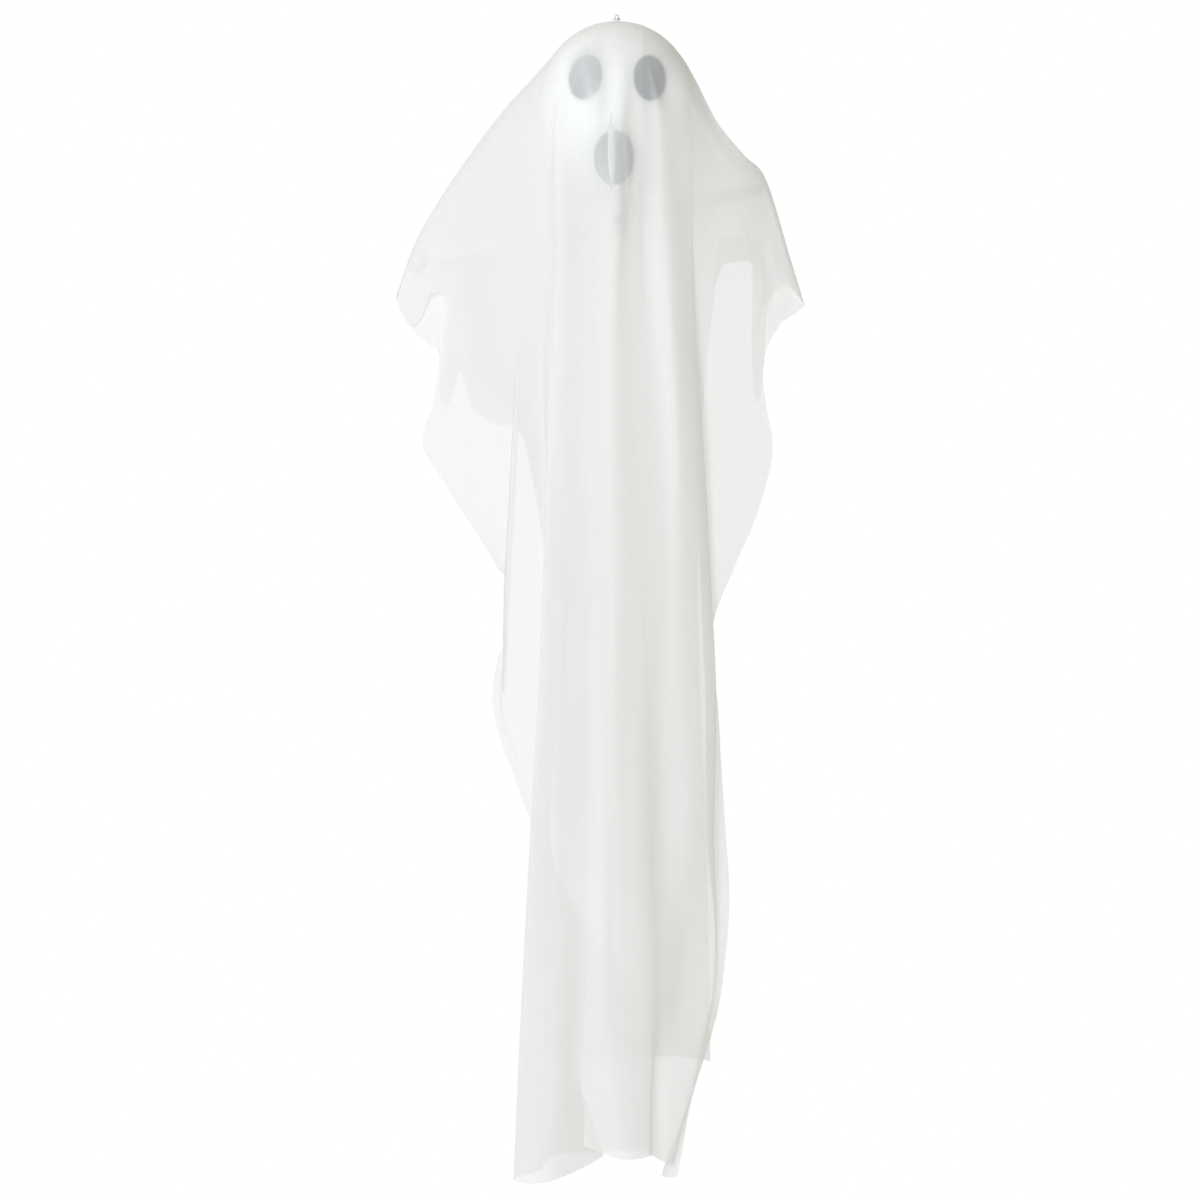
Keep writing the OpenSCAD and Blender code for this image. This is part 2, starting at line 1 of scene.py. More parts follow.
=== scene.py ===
import math
import bpy
import numpy as np
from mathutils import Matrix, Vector


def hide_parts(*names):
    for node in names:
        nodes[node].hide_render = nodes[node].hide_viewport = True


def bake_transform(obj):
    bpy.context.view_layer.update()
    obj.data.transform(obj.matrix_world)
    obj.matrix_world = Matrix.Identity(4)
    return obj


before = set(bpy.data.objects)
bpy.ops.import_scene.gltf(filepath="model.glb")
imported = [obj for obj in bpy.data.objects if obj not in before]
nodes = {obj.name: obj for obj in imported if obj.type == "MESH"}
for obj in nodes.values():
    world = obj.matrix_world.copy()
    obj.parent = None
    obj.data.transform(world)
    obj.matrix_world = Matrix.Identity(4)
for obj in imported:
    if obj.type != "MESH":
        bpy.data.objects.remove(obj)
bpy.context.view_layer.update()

scene = bpy.context.scene

# ------------------------------------------------------------------ camera
# about 7 m away at the middle of the ghost's height, looking at the face
cam_data = bpy.data.cameras.new("camera")
cam_data.sensor_width = 36.0
cam_data.lens = 18.0 / (0.600 / 6.96)
cam_data.clip_end = 50.0
cam = bpy.data.objects.new("camera", cam_data)
cam.location = (-0.017, -7.0, -0.5866)
cam.rotation_euler = (math.radians(90), 0, 0)
scene.collection.objects.link(cam)
scene.camera = cam
scene.view_settings.view_transform = "Standard"
scene.view_settings.look = "None"

# ------------------------------------------------------------------ sheet shape
# The cloth is drawn as fold lines in millimetres, those of the CAD model with more detail. Each one starts on the ridge
# over the head and the crossbar and runs down to the front hem, and down to the back hem. The rows of a line are
# numbered from the ridge; the two outer edges have points between the rows, at the corners of their outline.
HEAD_R, HEAD_Z, CHIN, CHIN_FULL = 75.0, -81.5, 110.0, 2.2
CLOTH_R = HEAD_R + 2.0
TILT, PIVOT_Z, ARM_L, ARM_R, BALL_R = math.radians(12), -204.0, 203.0, 144.0, 6.0


def over_dome(x, s):
    r = math.sqrt(CLOTH_R ** 2 - x * x)
    return [[x, s * r * math.sin(math.radians(a)), HEAD_Z + r * math.cos(math.radians(a))] for a in (0, 32, 62, 92)]


def head_front(x, drop):
    return over_dome(x, -1) + drop


def head_back(x, drop):
    return over_dome(x, 1)[1:] + drop


def numbered(points):
    return [[i] + list(p) for i, p in enumerate(points)]


def curve(line, ts):
    """Smooth curve through the points [row, x, y, z] of a line, at the rows ts."""
    L = np.array(line, float)
    t, P = L[:, 0], L[:, 1:]
    h = np.diff(t)
    d = np.diff(P, axis=0) / h[:, None]
    m = np.empty_like(P)
    m[0], m[-1] = d[0], d[-1]
    m[1:-1] = (d[1:] * h[:-1, None] + d[:-1] * h[1:, None]) / (h[:-1] + h[1:])[:, None]
    ts = np.asarray(ts, float)
    k = np.clip(np.searchsorted(t, ts, side="right") - 1, 0, len(h) - 1)
    u = ((ts - t[k]) / h[k])[:, None]
    H = h[k][:, None]
    return (P[k] * (2 * u ** 3 - 3 * u ** 2 + 1) + m[k] * H * (u ** 3 - 2 * u ** 2 + u)
            + P[k + 1] * (3 * u ** 2 - 2 * u ** 3) + m[k + 1] * H * (u ** 3 - u ** 2))


# the front cloth's two outer edges and the outer left fold, below the shoulders
LEFT_EDGE = [[6, -176, -18, -323], [6.6, -185, -21, -393], [6.9, -194, -22, -420], [7.05, -194, -22, -436], [7.2, -179, -24, -460],
    [7.5, -153, -27, -501], [7.9, -116, -30, -562], [8.05, -111, -31, -580], [8.4, -117, -33, -633], [8.75, -124, -36, -672],
    [9, -124, -38, -694], [9.25, -117, -40, -724], [9.6, -102, -42, -765], [10, -83, -43, -814], [10.5, -40, -42, -898],
    [11, 16, -40, -983], [11.5, 33, -39, -1060], [12, 36, -38, -1135]]
LEFT_FOLD = [[6, -98, -45, -323], [7, -102, -47, -425], [7.5, -106, -47, -500], [8, -110, -46, -572], [8.5, -113, -45, -640],
    [9, -112, -45, -698], [9.5, -92, -48, -755], [10, -70, -50, -813], [11, -59, -50, -983], [12, -61, -52, -1140]]
RIGHT_EDGE = [[6, 146, -18, -338], [6.4, 147, -16, -372], [6.75, 152, -14, -403], [7, 156, -12, -426], [7.15, 156, -12, -442], [7.45, 143, -14, -493],
    [7.9, 118, -18, -553], [8.3, 97, -20, -608], [8.6, 96, -19, -645], [9, 101, -17, -689], [9.5, 105, -14, -757], [10, 110, -11, -830],
    [10.4, 113, -10, -884], [10.8, 109, -11, -946], [11, 103, -13, -990], [11.4, 86, -25, -1048], [11.7, 71, -36, -1103], [11.88, 63, -42, -1148],
    [11.95, 58, -45, -1164], [12, 44, -49, -1162]]
RIGHT_FOLD = [[6, 77, -37, -323], [7, 79, -33, -423], [8, 84, -27, -573], [9, 89, -23, -687], [10, 90, -19, -813], [11, 97, -18, -983], [11.5, 78, -37, -1066], [12, 56, -47, -1150]]
# the back cloth's right edge, which turns up into a square corner under the arm
BACK_EDGE = [[3.25, 152, -13, -330], [3.45, 148, -14, -345], [3.7, 145, -13, -370], [3.85, 142, -12, -388], [3.93, 139, -11, -385], [4.2, 136, -9, -345], [4.6, 136, -2, -290],
    [4.85, 137, 5, -252], [4.98, 137, 12, -225], [5.1, 128, 17, -221], [5.3, 112, 22, -221], [5.45, 103, 26, -223], [5.6, 101, 30, -250], [5.8, 99, 32, -272], [6, 97, 34, -292],
    [6.5, 91, 38, -345], [7, 86, 43, -417], [8, 82, 50, -573], [9, 85, 53, -687], [10, 90, 55, -813], [11, 93, 56, -933], [12, 95, 56, -1054]]
# the line beside it, where the corner is turned up
BACK_TURN = [[3.6, 150, -10, -279], [4.2, 143, -6, -268], [4.6, 138, 6, -256], [4.85, 135, 9, -247], [4.98, 132, 12, -245], [5.1, 126, 15, -245], [5.3, 112, 20, -245], [5.45, 104, 24, -248], [5.6, 101, 27, -262], [5.8, 98, 30, -275],
    [6, 95, 33, -290], [7, 84, 43, -417], [8, 80, 51, -573], [9, 83, 54, -687], [10, 88, 56, -813], [11, 91, 57, -933], [12, 93, 57, -1054]]
# the back cloth's left edge, with a narrow tail behind the front cloth's edge
BACK_LEFT = [[3.2, -178, -11, -339], [3.5, -176, -13, -366], [3.75, -177, -14, -390], [3.85, -173, -14, -397], [4, -168, -12, -388], [4.35, -159, 0, -357],
    [5, -151, 10, -373], [6, -143, 20, -396], [6.5, -125, 30, -408], [7, -100, 37, -416], [7.3, -78, 44, -440], [8, -72, 52, -573], [9, -77, 58, -687],
    [10, -82, 60, -813], [11, -80, 62, -933], [12, -72, 63, -1049]]
# points between the last two rows of the front lines that carry the centre fold and the flat piece right of it
HEM = {9: [11.65, -36, -77, -1080], 10: [11.65, -30, -80, -1078], 13: [11.5, 37, -63, -1062], 14: [11.5, 56, -53, -1064], 15: [11.5, 73, -42, -1066]}
FRONT = [
    [[-222, 0, -282], [-217, -4, -297], [-207, -7, -311], [-196, -9, -302], [-188, -11, -281], [-174, -15, -283]],
    [[-207, 0, -238], [-203, -6, -248], [-195, -9, -258], [-186, -12, -264], [-178, -15, -270], [-170, -18, -283]],
    [[-192, 0, -207], [-189, -8, -217], [-184, -12, -229], [-177, -15, -241], [-170, -17, -255], [-163, -20, -278]],
    [[-159, 0, -155], [-159, -8, -167], [-158, -13, -183], [-156, -17, -201], [-153, -20, -221], [-150, -23, -248]],
    [[-117, 0, -98], [-118, -10, -110], [-119, -17, -126], [-120, -22, -146], [-121, -26, -173], [-122, -30, -218]],
    [[-82, 0, -59], [-83, -14, -73], [-84, -25, -91], [-86, -32, -113], [-87, -36, -151], [-91, -39, -221]],
    [[-67, 0, -42], [-69, -18, -53], [-70, -32, -71], [-71, -41, -93], [-72, -45, -148], [-76, -47, -223], [-77, -50, -323], [-74, -52, -423], [-66, -54, -573], [-64, -55, -687], [-68, -56, -813], [-69, -57, -983], [-77, -58, -1155]],
    head_front(-57, [[-61, -53, -148], [-65, -58, -223], [-67, -69, -323], [-69, -78, -423], [-74, -84, -573], [-79, -86, -687], [-86, -86, -813], [-95, -85, -983], [-103, -84, -1163]]),
    head_front(-42, [[-51, -68, -148], [-56, -73, -223], [-58, -79, -323], [-57, -84, -423], [-57, -88, -573], [-58, -90, -687], [-60, -92, -813], [-63, -94, -983], [-68, -94, -1164]]),
    head_front(-25, [[-32, -72, -148], [-36, -73, -223], [-37, -77, -323], [-36, -80, -423], [-35, -83, -573], [-35, -84, -687], [-36, -84, -813], [-37, -83, -983], [-14, -56, -1141]]),
    head_front(-17, [[-20, -75, -148], [-24, -75, -223], [-25, -79, -323], [-24, -81, -423], [-23, -82, -573], [-23, -83, -687], [-23, -83, -813], [-26, -83, -983], [-34, -70, -1130]]),
    head_front(0, [[0, -79, -148], [-4, -82, -223], [-4, -85, -323], [-3, -87, -423], [-2, -87, -573], [-3, -88, -687], [-5, -88, -813], [-5, -88, -983], [5, -88, -1142]]),
    head_front(21, [[19, -74, -148], [18, -72, -223], [19, -73, -323], [20, -74, -423], [22, -75, -573], [22, -75, -687], [23, -76, -813], [28, -77, -983], [34, -72, -1140]]),
    head_front(29, [[30, -71, -148], [30, -67, -223], [37, -66, -323], [44, -64, -423], [46, -62, -573], [44, -59, -687], [46, -53, -813], [46, -58, -983], [31, -60, -1138]]),
    head_front(47, [[47, -66, -148], [50, -72, -223], [57, -71, -323], [63, -66, -423], [68, -55, -573], [70, -51, -687], [75, -44, -813], [64, -39, -983], [45, -55, -1146]]),
    [[65, 0, -40], [66, -25, -48], [67, -45, -64], [67, -54, -86], [69, -57, -148], [72, -53, -223], [78, -43, -323], [86, -39, -423], [94, -31, -573], [99, -28, -687], [97, -25, -813], [93, -24, -983], [54, -50, -1149]],
    [[79, -24, -66], [79, -33, -74], [79, -43, -87], [79, -48, -105], [78, -51, -153], [78, -48, -223]],
    [[101, -31, -109], [101, -33, -118], [100, -37, -131], [99, -39, -148], [99, -40, -178], [99, -39, -225]],
    [[128, -20, -141], [128, -22, -151], [127, -25, -163], [126, -27, -179], [125, -29, -201], [124, -30, -235]],
    [[150, 0, -164], [151, -8, -178], [150, -12, -195], [148, -16, -215], [146, -19, -238], [144, -22, -273]],
    [[175, 0, -245], [173, -6, -248], [168, -10, -250], [161, -14, -252], [153, -17, -258], [147, -20, -280]],
    [[189, 0, -291], [184, -5, -284], [175, -10, -274], [165, -13, -268], [155, -16, -270], [148, -19, -290]]]
BACK = [
    [[-215, 0, -300], [-204, -4, -316], [-190, -8, -329]],
    [[-204, 3, -253], [-197, -2, -275], [-186, -8, -295], [-173, -12, -315], [-158, -6, -339], [-139, 10, -378], [-97, 40, -413], [-70, 54, -571], [-75, 60, -687], [-79, 62, -813], [-77, 64, -933], [-69, 65, -1050]],
    [[-189, 5, -223], [-183, 4, -241], [-175, 0, -261], [-164, -6, -283], [-150, -2, -311], [-132, 16, -358], [-94, 45, -413], [-67, 57, -571], [-71, 62, -687], [-75, 64, -813], [-72, 66, -933], [-64, 67, -1050]],
    [[-158, 9, -171], [-155, 14, -189], [-150, 19, -209], [-143, 24, -233], [-133, 30, -268], [-119, 38, -328], [-89, 50, -413], [-62, 60, -573], [-66, 65, -687], [-69, 67, -813], [-66, 69, -933], [-58, 70, -1050]],
    [[-117, 12, -113], [-116, 20, -131], [-114, 27, -153], [-110, 33, -181], [-105, 40, -223], [-97, 48, -318], [-79, 57, -419], [-56, 66, -573], [-59, 70, -687], [-61, 72, -813], [-58, 74, -933], [-50, 75, -1050]],
    [[-82, 16, -73], [-82, 28, -91], [-82, 37, -113], [-81, 44, -151], [-78, 51, -223], [-72, 58, -323], [-64, 66, -423], [-49, 74, -573], [-51, 77, -687], [-52, 78, -813], [-49, 79, -933], [-41, 80, -1051]],
    [[-68, 19, -53], [-69, 34, -71], [-69, 45, -93], [-67, 52, -148], [-63, 58, -223], [-57, 64, -323], [-50, 70, -423], [-41, 74, -573], [-41, 75, -687], [-41, 76, -813], [-38, 76, -933], [-31, 76, -1051]],
    head_back(-57, [[-53, 58, -148], [-48, 63, -223], [-42, 67, -323], [-37, 69, -423], [-32, 68, -573], [-30, 67, -687], [-28, 66, -813], [-25, 66, -933], [-20, 66, -1051]]),
    head_back(-42, [[-39, 68, -148], [-35, 70, -223], [-30, 71, -323], [-26, 71, -423], [-22, 70, -573], [-19, 70, -687], [-16, 70, -813], [-13, 70, -933], [-9, 70, -1051]]),
    head_back(-25, [[-23, 76, -148], [-20, 79, -223], [-17, 81, -323], [-14, 82, -423], [-11, 83, -573], [-9, 83, -687], [-7, 84, -813], [-4, 84, -933], [-1, 84, -1051]]),
    head_back(-17, [[-16, 78, -148], [-13, 81, -223], [-10, 83, -323], [-7, 84, -423], [-4, 84, -573], [-2, 84, -687], [1, 84, -813], [4, 84, -933], [7, 84, -1051]]),
    head_back(0, [[0, 78, -148], [1, 78, -223], [2, 77, -323], [4, 75, -423], [7, 73, -573], [10, 72, -687], [13, 71, -813], [17, 70, -933], [21, 70, -1051]]),
    head_back(21, [[20, 75, -148], [19, 74, -223], [19, 74, -323], [20, 74, -423], [23, 74, -573], [26, 74, -687], [30, 74, -813], [34, 74, -933], [38, 74, -1051]]),
    head_back(29, [[27, 73, -148], [25, 73, -223], [25, 75, -323], [27, 77, -423], [30, 79, -573], [34, 80, -687], [38, 81, -813], [42, 82, -933], [46, 82, -1051]]),
    head_back(47, [[43, 66, -148], [40, 70, -223], [39, 75, -323], [40, 79, -423], [43, 82, -573], [47, 84, -687], [51, 85, -813], [56, 85, -933], [60, 85, -1051]]),
    head_back(65, [[61, 50, -148], [56, 58, -223], [52, 65, -323], [51, 70, -423], [53, 73, -573], [57, 74, -687], [62, 74, -813], [67, 74, -933], [71, 74, -1051]]),
    [[79, 14, -76], [78, 26, -89], [77, 34, -107], [73, 42, -148], [67, 51, -223], [62, 58, -323], [59, 62, -423], [61, 65, -573], [65, 66, -687], [70, 66, -813], [75, 66, -933], [79, 66, -1052]],
    [[101, 10, -121], [99, 17, -133], [97, 23, -149], [92, 30, -173], [84, 38, -208], [73, 48, -303], [67, 55, -421], [67, 59, -573], [71, 61, -687], [76, 62, -813], [80, 62, -933], [83, 62, -1052]],
    [[127, 8, -155], [125, 12, -169], [122, 16, -185], [116, 20, -203], [106, 26, -221], [83, 40, -293], [73, 50, -419], [72, 55, -573], [75, 58, -687], [80, 59, -813], [84, 60, -933], [87, 60, -1053]],
    [[150, 7, -179], [148, 9, -196], [145, 10, -215], [138, 13, -229], [120, 20, -233], [90, 35, -286], [79, 46, -418], [77, 53, -573], [80, 56, -687], [85, 57, -813], [89, 58, -933], [91, 58, -1053]],
    [[171, 0, -258], [164, -4, -270], [156, -8, -278]],
    [[181, -2, -297], [171, -6, -304], [160, -10, -316]]]

EXTRA = [6, 6.5, 7, 7.25, 7.5, 7.75, 8, 8.25, 8.5, 8.75, 9, 9.5, 10, 10.5, 11, 11.5, 12]


def between(edge, fold, part):
    """Points of a line that runs between an edge and a fold, a given part of the way in."""
    e, f = curve(edge, EXTRA), curve(fold, EXTRA)
    return [[t] + list(p) for t, p in zip(EXTRA, e + (f - e) * part)]


front = []
for i, line in enumerate(FRONT):
    points = numbered(line)
    if i == 0:
        points += LEFT_EDGE
    elif i < 5:
        points += between(LEFT_EDGE, LEFT_FOLD, (0.07, 0.20, 0.45, 0.72)[i - 1])
    elif i == 5:
        points += LEFT_FOLD
    elif i in HEM:
        points.insert(12, HEM[i])
    elif i == 16:
        points += RIGHT_FOLD
    elif 16 < i < 21:
        points += between(RIGHT_EDGE, RIGHT_FOLD, (0.64, 0.33, 0.12, 0.05)[i - 17])
    elif i == 21:
        points += RIGHT_EDGE
    front.append(points)
back = [numbered([FRONT[i][0]] + BACK[i]) for i in range(len(BACK))]
back[0] += BACK_LEFT
back[20] += BACK_TURN
back[21] += BACK_EDGE


def rows_for(lines, last, step):
    """Row numbers so that the longest of the lines has steps of about that length."""
    ts = []
    for k in range(last):
        fine = np.linspace(k, k + 1, 9)
        longest = max(np.linalg.norm(np.diff(curve(l, fine), axis=0), axis=1).sum() for l in lines)
        n = max(3, int(round(longest / step)))
        ts += [k + j / n for j in range(n)]
    return ts + [last]


t_front, t_back = rows_for(front, 12, 6.0), rows_for(back, 12, 7.0)
GF = np.array([curve(l, t_front) for l in front]).transpose(1, 0, 2)
GB = np.array([curve(l, t_back) for l in back]).transpose(1, 0, 2)
G = np.concatenate([GB[:0:-1], GF])                       # rows from the back hem over the ridge to the front hem
ridge_row = len(t_back) - 1
PARTS = [6, 6, 8, 9, 14, 16, 14, 14, 10, 6, 12, 12, 9, 12, 12, 8, 10, 9, 9, 9, 6]
across = np.concatenate([i + np.arange(n) / n for i, n in enumerate(PARTS)] + [[len(FRONT) - 1]])
G = np.array([curve([[i] + list(p) for i, p in enumerate(row)], across) for row in G])
NR, NC = G.shape[:2]
row_t = np.concatenate([-np.array(t_back[:0:-1]), t_front])


def normals(G):
    a = np.gradient(G, axis=1)
    b = np.gradient(G, axis=0)
    n = np.cross(b, a)
    return n / (np.linalg.norm(n, axis=2, keepdims=True) + 1e-9)


def fold_height(G, path):
    """Height of a raised fold along a path of [z, x, width to the left, width to the right, height] on the front."""
    P = np.array(sorted(path), float)
    z = G[..., 2]
    x0, wl, wr, h = (np.interp(z, P[:, 0], P[:, k]) for k in (1, 2, 3, 4))
    inside = (z > P[0, 0] - 25) & (z < P[-1, 0] + 12)
    fade = np.clip((z - P[0, 0] + 25) / 25, 0, 1) * np.clip((P[-1, 0] + 12 - z) / 12, 0, 1)
    s = G[..., 0] - x0
    s = s / np.where(s < 0, wl, wr)
    return np.where(inside & (row_t[:, None] > 0), h * fade / np.cosh(1.6 * s) ** 2, 0.0)


FACE_FOLDS = [
    # nose, second fold over the mouth, right cheek, left eye, left cheek
    [[-45, 6, 12, 10, 0.5], [-70, 6, 13, 11, 4.0], [-100, 4, 13, 9, 6.5], [-122, 1, 12, 10, 8.5], [-140, -2, 15, 14, 11.0], [-160, -2, 15, 14, 11.0], [-190, 0, 12, 10, 7.0], [-260, -1, 14, 9, 3.0], [-340, -3, 16, 12, 1.0]],
    [[-116, 9, 4, 3, 0.5], [-135, 9, 5, 3, 3.5], [-155, 9, 5, 3, 3.5], [-175, 10, 5, 4, 1.0]],
    [[-55, 32, 3, 5, 0.5], [-70, 35, 4, 7, 2.5], [-85, 38, 5, 12, 4.0], [-110, 41, 7, 22, 5.0], [-140, 44, 9, 24, 5.0], [-203, 46, 11, 24, 4.0], [-260, 50, 12, 20, 1.5]],
    [[-20, -28, 20, 18, 1.0], [-42, -28, 22, 20, 6.0], [-60, -26, 18, 20, 8.0], [-80, -22, 12, 17, 8.0], [-112, -21, 8, 12, 4.0], [-150, -23, 8, 10, 1.5]],
    [[-72, -51, 10, 7, 0.5], [-88, -53, 12, 8, 4.0], [-105, -54, 12, 8, 8.0], [-145, -56, 12, 9, 6.5], [-200, -59, 10, 9, 3.0]],
]
N = normals(G)
lift = sum(fold_height(G, p) for p in FACE_FOLDS)
G = G - N * lift[..., None] * np.sign(N[..., 1:2] + 1e-9)


def off_head(G, gap):
    q = G - np.array([0, 0, HEAD_Z])
    rho = np.hypot(q[..., 0], q[..., 1]) / (HEAD_R + gap)
    up = np.hypot(rho, q[..., 2] / (HEAD_R + gap))
    low = (rho ** CHIN_FULL + np.abs(q[..., 2] / (CHIN + gap)) ** CHIN_FULL) ** (1 / CHIN_FULL)
    f = np.where(q[..., 2] > 0, up, low)
    k = np.where(f < 1, 1 / np.maximum(f, 1e-3), 1.0)
    return np.array([0, 0, HEAD_Z]) + q * k[..., None]


def off_ball(G, centre, r):
    q = G - np.array(centre)
    n = np.linalg.norm(q, axis=2, keepdims=True)
    return np.where(n < r, centre + q * r / np.maximum(n, 1e-3), G)


LEFT_BALL = (-ARM_L * math.cos(TILT), 0.0, PIVOT_Z - ARM_L * math.sin(TILT))
RIGHT_BALL = (ARM_R * math.cos(TILT), 0.0, PIVOT_Z + ARM_R * math.sin(TILT))
G = off_head(G, 1.8)
G = off_ball(G, LEFT_BALL, BALL_R + 2.5)
G = off_ball(G, RIGHT_BALL, BALL_R + 2.5)


def pleat(G, path, side, fade=40.0, calm=30.0):
    """Lay the front cloth in a flat pleat along a path of [z, x, overlap, depth]. The part on one side of the
    path, 1 for the right and -1 for the left, lies in front; its edge shows, and it settles back beyond the pleat."""
    P = np.array(sorted(path), float)
    z = G[..., 2]
    x0, lap, deep = (np.interp(z, P[:, 0], P[:, k]) for k in (1, 2, 3))
    on = np.clip((z - P[0, 0] + fade) / fade, 0, 1) * np.clip((P[-1, 0] + fade - z) / fade, 0, 1)
    on = np.where(row_t[:, None] > 0, on * on * (3 - 2 * on), 0.0)
    wide = 1.4 * np.maximum(lap, 0.5)
    s = (G[..., 0] - x0) * side
    near = np.abs(s) < wide
    shift = np.where(near, -on * 2.5 * wide / math.pi * np.sin(math.pi * np.clip(s / wide, -1, 1)), 0.0)

    def ease(t):
        t = np.clip(t, 0, 1)
        return t * t * (3 - 2 * t)
    out = on * deep * ease((s + wide) / (2 * wide)) * (1 - ease((s - wide) / calm))
    H = G.copy()
    H[..., 0] += side * shift
    H[..., 1] -= out
    return H


PLEATS = [
    # the fold beside the left panel
    ([[-340, -98, 4, 3], [-425, -102, 6, 4], [-500, -106, 6, 4], [-572, -110, 6, 4], [-660, -113, 4, 3]], 1),
    # the doubled cloth over the mouth
    ([[-108, -6, 2, 0.4], [-124, -6, 7, 1.5], [-150, -6, 8, 1.7], [-166, -6, 5.5, 1.1], [-182, -6, 1.5, 0.3]], 1, 10.0, 16.0),
]
for path, side, *reach in PLEATS:
    G = pleat(G, path, side, *reach)
print("sheet grid", NR, NC, "ridge row", ridge_row)

# ------------------------------------------------------------------ material helpers
def new_material(name):
    m = bpy.data.materials.new(name)
    m.use_nodes = True
    nt = m.node_tree
    nt.nodes.clear()
    out = nt.nodes.new("ShaderNodeOutputMaterial")
    return m, nt, out


def add(nt, kind, **values):
    n = nt.nodes.new(kind)
    for key, v in values.items():
        if key in n.inputs:
            n.inputs[key].default_value = v
        else:
            setattr(n, key, v)
    return n


def ramp(nt, fac, stops):
    n = nt.nodes.new("ShaderNodeValToRGB")
    el = n.color_ramp.elements
    while len(el) < len(stops):
        el.new(0.5)
    for e, (pos, col) in zip(el, stops):
        e.position = pos
        e.color = (*col, 1.0) if len(col) == 3 else col
    nt.links.new(fac, n.inputs["Fac"])
    return n.outputs["Color"]


def math_node(nt, op, a, b):
    n = nt.nodes.new("ShaderNodeMath")
    n.operation = op
    for i, v in enumerate((a, b)):
        if isinstance(v, (int, float)):
            n.inputs[i].default_value = v
        else:
            nt.links.new(v, n.inputs[i])
    return n.outputs[0]


def bump(nt, height, strength, distance, after=None):
    n = nt.nodes.new("ShaderNodeBump")
    n.inputs["Strength"].default_value = strength
    n.inputs["Distance"].default_value = distance
    nt.links.new(height, n.inputs["Height"])
    if after is not None:
        nt.links.new(after, n.inputs["Normal"])
    return n.outputs["Normal"]


# ------------------------------------------------------------------ gauze
def gauze():
    m, nt, out = new_material("gauze")
    uv = nt.nodes.new("ShaderNodeUVMap")
    uv.uv_map = "cloth"
    # threads, about 0.8 mm apart both ways
    sep = nt.nodes.new("ShaderNodeSeparateXYZ")
    nt.links.new(uv.outputs["UV"], sep.inputs[0])
    warp = math_node(nt, "SINE", math_node(nt, "MULTIPLY", sep.outputs[0], 2 * math.pi / 0.0008), 0.0)
    weft = math_node(nt, "SINE", math_node(nt, "MULTIPLY", sep.outputs[1], 2 * math.pi / 0.0008), 0.0)
    weave = math_node(nt, "MULTIPLY", warp, weft)
    # slubs: threads that run thicker for a while
    stretch = add(nt, "ShaderNodeMapping")
    stretch.inputs["Scale"].default_value = (900.0, 9.0, 1.0)
    nt.links.new(uv.outputs["UV"], stretch.inputs["Vector"])
    slub_w = add(nt, "ShaderNodeTexNoise", Scale=1.0, Detail=2.0)
    nt.links.new(stretch.outputs[0], slub_w.inputs["Vector"])
    stretch2 = add(nt, "ShaderNodeMapping")
    stretch2.inputs["Scale"].default_value = (9.0, 900.0, 1.0)
    nt.links.new(uv.outputs["UV"], stretch2.inputs["Vector"])
    slub_f = add(nt, "ShaderNodeTexNoise", Scale=1.0, Detail=2.0)
    nt.links.new(stretch2.outputs[0], slub_f.inputs["Vector"])
    slub = math_node(nt, "ADD", slub_w.outputs["Fac"], slub_f.outputs["Fac"])
    # soft creases left by the packing, a few centimetres across
    crease = add(nt, "ShaderNodeTexNoise", Scale=38.0, Detail=3.0, Roughness=0.5)
    nt.links.new(uv.outputs["UV"], crease.inputs["Vector"])
    n1 = bump(nt, crease.outputs["Fac"], 0.25, 0.0020)
    n2 = bump(nt, slub, 0.20, 0.0003, n1)
    n3 = bump(nt, weave, 0.15, 0.0002, n2)
    tone = ramp(nt, slub, [(0.30, (0.84, 0.853, 0.862)), (0.70, (0.89, 0.905, 0.914))])
    glow = ramp(nt, slub, [(0.30, (0.868, 0.858, 0.828)), (0.70, (0.913, 0.902, 0.870))])
    p = add(nt, "ShaderNodeBsdfPrincipled", Roughness=0.85)
    p.inputs["Specular IOR Level"].default_value = 0.25
    p.inputs["Sheen Weight"].default_value = 0.08
    p.inputs["Sheen Roughness"].default_value = 0.5
    nt.links.new(tone, p.inputs["Base Color"])
    nt.links.new(n3, p.inputs["Normal"])
    t = nt.nodes.new("ShaderNodeBsdfTranslucent")
    nt.links.new(glow, t.inputs["Color"])
    nt.links.new(n3, t.inputs["Normal"])
    mix = nt.nodes.new("ShaderNodeMixShader")
    mix.inputs["Fac"].default_value = 0.48
    nt.links.new(p.outputs[0], mix.inputs[1])
    nt.links.new(t.outputs[0], mix.inputs[2])
    # the gaps between the threads let some light straight through
    gap = nt.nodes.new("ShaderNodeBsdfTransparent")
    gap.inputs["Color"].default_value = (1.0, 1.0, 1.0, 1.0)
    sheer = nt.nodes.new("ShaderNodeMixShader")
    lw = nt.nodes.new("ShaderNodeLayerWeight")
    lw.inputs["Blend"].default_value = 0.5
    nt.links.new(math_node(nt, "SUBTRACT", 0.31, math_node(nt, "MULTIPLY", lw.outputs["Facing"], 0.30)), sheer.inputs["Fac"])
    nt.links.new(mix.outputs[0], sheer.inputs[1])
    nt.links.new(gap.outputs[0], sheer.inputs[2])
    nt.links.new(sheer.outputs[0], out.inputs["Surface"])
    return m


